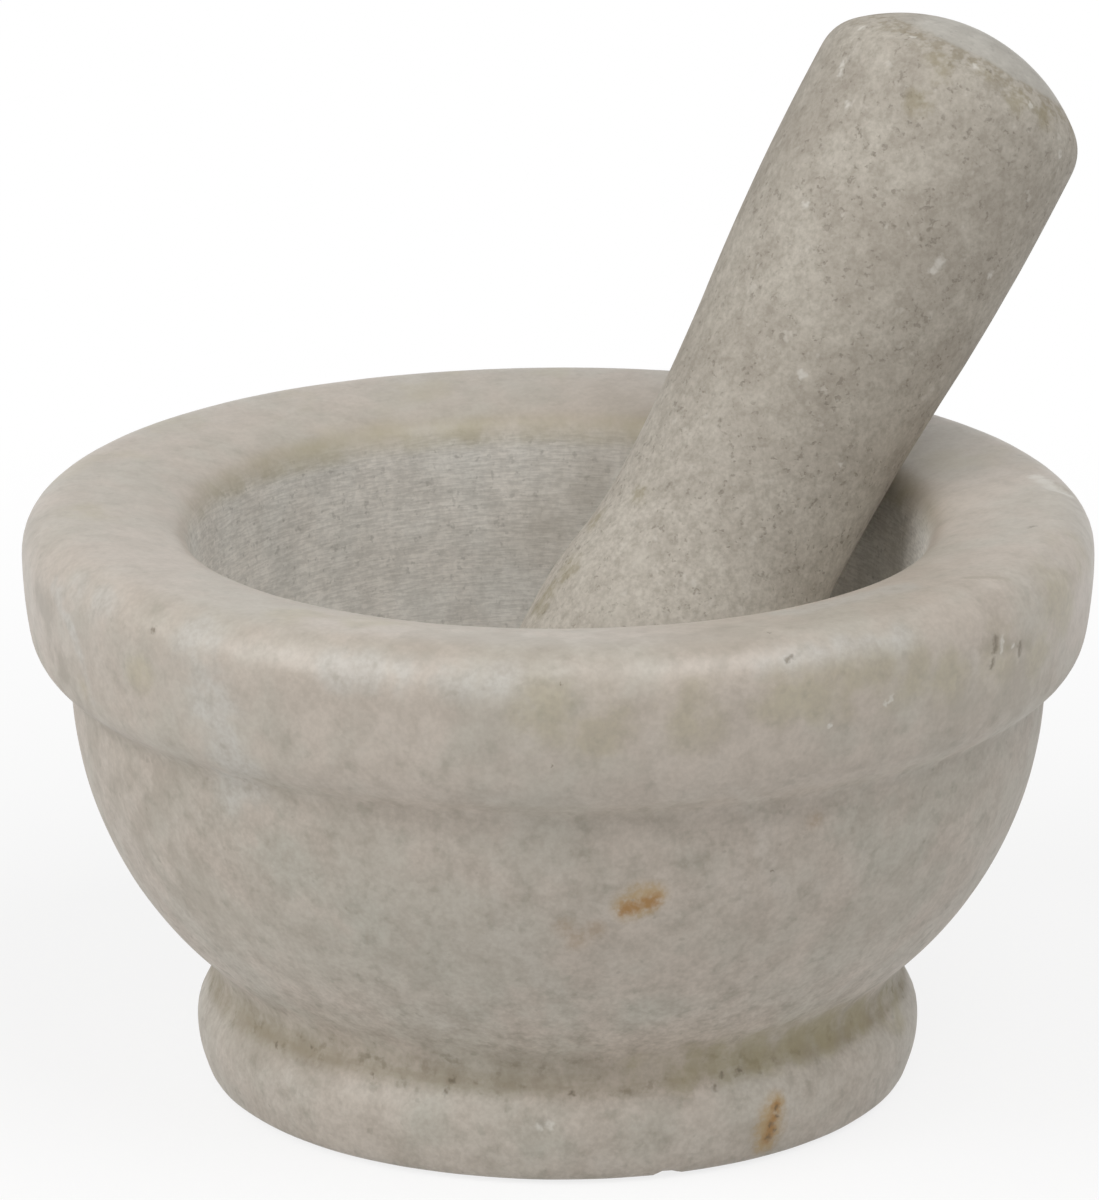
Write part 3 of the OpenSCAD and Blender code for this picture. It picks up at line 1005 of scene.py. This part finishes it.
place, along = start_finish(pestle_stone)
broad = cloud(place, 13, 2.0, 0.5, 0.5)
middle = cloud(place, 4.5, 3.0, 0.6)
blots = cloud(place, 1.7, 3.0, 0.6)
grain = cloud(place, 0.6, 2.0, 0.65)
tone = (broad * 0.5 + middle * 0.5).fade(0.38, 0.62)
specks = cloud(place, 0.9, 2.0, 0.6).fade(0.58, 0.69) * middle.fade(0.40, 0.56)
flecks = cloud(place, 1.9, 2.0, 0.65).fade(0.64, 0.74)
colour = tone.between(BROWN_PALE, BROWN_GREY)
# Painted light: paler towards the waist, for the light that the bowl throws up onto the pestle
colour = colour.over(along.fade(GRIP_AT - 30, WAIST_AT) * 0.42, WAIST_BOUNCE_LIGHT)
colour = colour.over(blots.fade(0.36, 0.66) * 0.28 + grain.fade(0.34, 0.66) * 0.26, GRAIN_DARK)
colour = coated(colour, [(specks, 0.42, PESTLE_SPECK), (flecks, 0.32, PESTLE_FLECK)])
print("grain of the pestle:", len(pestle_stone.node_tree.nodes), "nodes")

# %% [markdown]
# ## The pestle's end and stains
# A hand's rubbing has left one side of the domed end smoother, and that side is painted paler, a painted
# highlight where the light falls on it. Dirt lies along the chipped border of that end. Olive stains lie
# below the border, and olive colour runs along the side that leans away from the lip.

# %% Marks on the pestle
PESTLE_STAINS_AND_HIGHLIGHT = {
    "olive": [(940, 60, 3.0), (938, 75, 2.5), (920, 102, 3.0), (1020, 100, 3.5), (1045, 115, 3.0),
              (985, 72, 2.0), (541, 604, 3.5), (552, 590, 2.5), (569, 569, 3.5), (596, 520, 3.0),
              (640, 493, 2.5)],
    "pale": [(612, 606, 4.0), (640, 560, 3.0)],
    # This mark paints a highlight on one side of the domed end, which is also made smoother there.
    "rubbed": [(1010, 62, 18.0)],
}
PESTLE_FLECKS = [(862, 28, 0.8), (842, 64, 0.7), (841, 73, 0.7), (848, 105, 0.8), (805, 205, 0.8),
                 (940, 262, 1.1), (934, 270, 0.8), (990, 275, 0.8), (802, 375, 0.8), (840, 465, 0.7),
                 (1060, 155, 0.7), (912, 36, 0.6), (976, 66, 0.7), (1030, 104, 0.6)]
PESTLE_PITS = [(988, 70, 0.5), (893, 226, 0.5), (931, 230, 0.5), (922, 238, 0.5), (770, 165, 0.3),
               (877, 155, 0.3)]
for name, marks in PESTLE_STAINS_AND_HIGHLIGHT.items():
    paint(pestle, pestle_surface, name, marks)

# %% [markdown]
# ## Laying the marks on the pestle
# The border of the end's painted highlight wanders, so the way along the outline is shaken by a noise
# before it is compared with the ring where the dome begins.

# %% Stains, nicks and the painted highlight on the pestle's end
END_WANDER = 3.0
LIT_END_PALE = srgb(200, 198, 191)
LIT_END_GREY = srgb(186, 184, 177)
BORDER_DIRT = srgb(140, 129, 104)
STREAK_PALE = srgb(206, 200, 188)
PESTLE_OLIVE = srgb(150, 140, 112)
NICK_PALE = srgb(218, 214, 206)
NICK_DARK = srgb(104, 95, 80)

edge_way = along + (middle - 0.5) * END_WANDER
# The painted highlight on one side of the domed end, also used to make that side smoother
end = painted(place, "rubbed").fade(0.10, 0.45) * edge_way.fade(DOME_EDGE_AT + 2.2, DOME_EDGE_AT + 3.8)
border_low = edge_way.fade(DOME_EDGE_AT - 2.5, DOME_EDGE_AT + 1.0)
border_high = edge_way.fade(DOME_EDGE_AT + 3.6, DOME_EDGE_AT + 2.4)
broken = middle * 0.5 + blots * 0.5
ragged = shaken(place, 0.8, 0.7)
colour = coated(colour, [
    # Painted highlight on the domed end
    (end, 0.50, tone.between(LIT_END_PALE, LIT_END_GREY)),
    (border_low * border_high * blots.fade(0.42, 0.60), 0.45, BORDER_DIRT),
    (stain_and_light_patch("pale", broken), 0.30, STREAK_PALE),
    (stain_and_light_patch("olive", broken), 0.50, PESTLE_OLIVE),
    (spots(ragged, places(pestle_surface, PESTLE_FLECKS), 0.2), 0.65, NICK_PALE),
    (spots(ragged, places(pestle_surface, PESTLE_PITS), 0.2), 0.55, NICK_DARK),
])
print("with its marks:", len(pestle_stone.node_tree.nodes), "nodes")

# %% [markdown]
# ## Feel of the pestle
# The open grain stands higher than the bowl's, and the dark specks are small holes.

# %% Feel of the pestle's surface
height = grain * 0.026 + blots * 0.045 - specks * 0.040
shine = 0.66 + blots * 0.15 - end * 0.14
end_finish(pestle_stone, colour, shine, height)

# %% [markdown]
# ## Floor
# The stone stands on a plain pale floor, which isn't part of the object. The camera sees it as almost
# white, and it keeps the object's shadow: it glows more the farther it lies from the object, so that it
# runs into the white background. A light path node tells the rays that show the floor from those that only
# light it.

# %% Floor
FLOOR_HALF = 1.5
FLOOR_TONE = 0.82
FLOOR_GLOW = 0.8
SHADOW_REACH = (0.10, 0.30)
WHITE = (1.0, 1.0, 1.0, 1.0)

corners = [(FLOOR_HALF * x, FLOOR_HALF * y, 0) for x, y in ((-1, -1), (1, -1), (1, 1), (-1, 1))]
floor_mesh = bpy.data.meshes.new("floor")
floor_mesh.from_pydata(corners, [], [(0, 1, 2, 3)])
floor = bpy.data.objects.new("floor", floor_mesh)
bpy.context.scene.collection.objects.link(floor)


def seen_rays(tree):
    """1 for rays that show the background: straight from the camera, mirrored, or through something clear."""
    blank = Wire(tree)
    seen = blank.node("ShaderNodeLightPath", output="Is Camera Ray")
    for name in ("Is Glossy Ray", "Is Transmission Ray"):
        seen = seen.larger(blank.node("ShaderNodeLightPath", output=name))
    return seen


floor_paint = bpy.data.materials.new("floor_paint")
floor_paint.use_nodes = True
floor_mesh.materials.append(floor_paint)
seen = seen_rays(floor_paint.node_tree)
spot = seen.node("ShaderNodeTexCoord", output="Object")
far = spot.vector("LENGTH", spot, (0, 0, 0), 1).fade(*SHADOW_REACH)
floor_colour = seen.between((FLOOR_TONE, FLOOR_TONE, FLOOR_TONE, 1.0), WHITE)
matt = seen.node("ShaderNodeBsdfDiffuse", None, {"Color": floor_colour})
glow = seen.node("ShaderNodeEmission", None, {"Color": WHITE, "Strength": 1.0})
glow_share = seen * (FLOOR_GLOW + far * (1 - FLOOR_GLOW))
mixed = seen.node("ShaderNodeMixShader", None, {0: glow_share, 1: matt, 2: glow})
floor_out = floor_paint.node_tree.nodes["Material Output"]
floor_paint.node_tree.links.new(mixed.socket, floor_out.inputs["Surface"])
print("the floor is", 2 * FLOOR_HALF, "m wide")

# %% [markdown]
# ## Background
# The world is white to the camera, and much weaker as a light, so that it only fills the shadows a little.

# %% Background
SKY_LEVEL = 0.3

world = bpy.data.worlds.new("studio")
bpy.context.scene.world = world
world.use_nodes = True
backdrop = world.node_tree.nodes["Background"]
backdrop.inputs["Color"].default_value = WHITE
sky_level = seen_rays(world.node_tree) * (1 - SKY_LEVEL) + SKY_LEVEL
world.node_tree.links.new(sky_level.socket, backdrop.inputs["Strength"])
print("the sky lights the stone at", SKY_LEVEL, "of its white")

# %% [markdown]
# ## Lamps
# Two large soft lamps light the stone, from the left and from the upper right, as the photograph's shading
# shows. Area lamps give the soft edges of a studio's light boxes.

# %% Lamps
SOFTBOX_SIZE = 0.6
SOFTBOX_DISTANCE = 0.9


def softbox(name, turn_deg, rise_deg, watts):
    """A square lamp aimed at the bowl; turn is to the right of the camera, rise is above level."""
    level_way = Matrix.Rotation(math.radians(turn_deg), 3, "Z") @ level_back
    rise = math.radians(rise_deg)
    way = level_way * math.cos(rise) + Vector((0, 0, math.sin(rise)))
    lamp = bpy.data.lights.new(name, "AREA")
    lamp.size = SOFTBOX_SIZE
    lamp.energy = watts
    holder = bpy.data.objects.new(name, lamp)
    holder.location = CAMERA_TARGET + way * SOFTBOX_DISTANCE
    holder.rotation_euler = way.to_track_quat("Z", "Y").to_euler()
    bpy.context.scene.collection.objects.link(holder)
    print(name, "stands at", [round(x, 2) for x in holder.location])


softbox("left_softbox", turn_deg=-60, rise_deg=35, watts=3.8)
softbox("right_softbox", turn_deg=45, rise_deg=56, watts=3.45)
bpy.context.scene.view_settings.view_transform = "Standard"

# %% [markdown]
# ## Join the frame
# Each stone rides on its CAD body and stands for its CAD node, which then isn't shown.

# %% Ride and replace
for piece, body, node, slot in ((bowl, "bowl", "mortar_bowl", "bowl_stone"),
                                (pestle, "pestle", "pestle", "pestle_stone")):
    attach(piece, body)
    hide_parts(node)
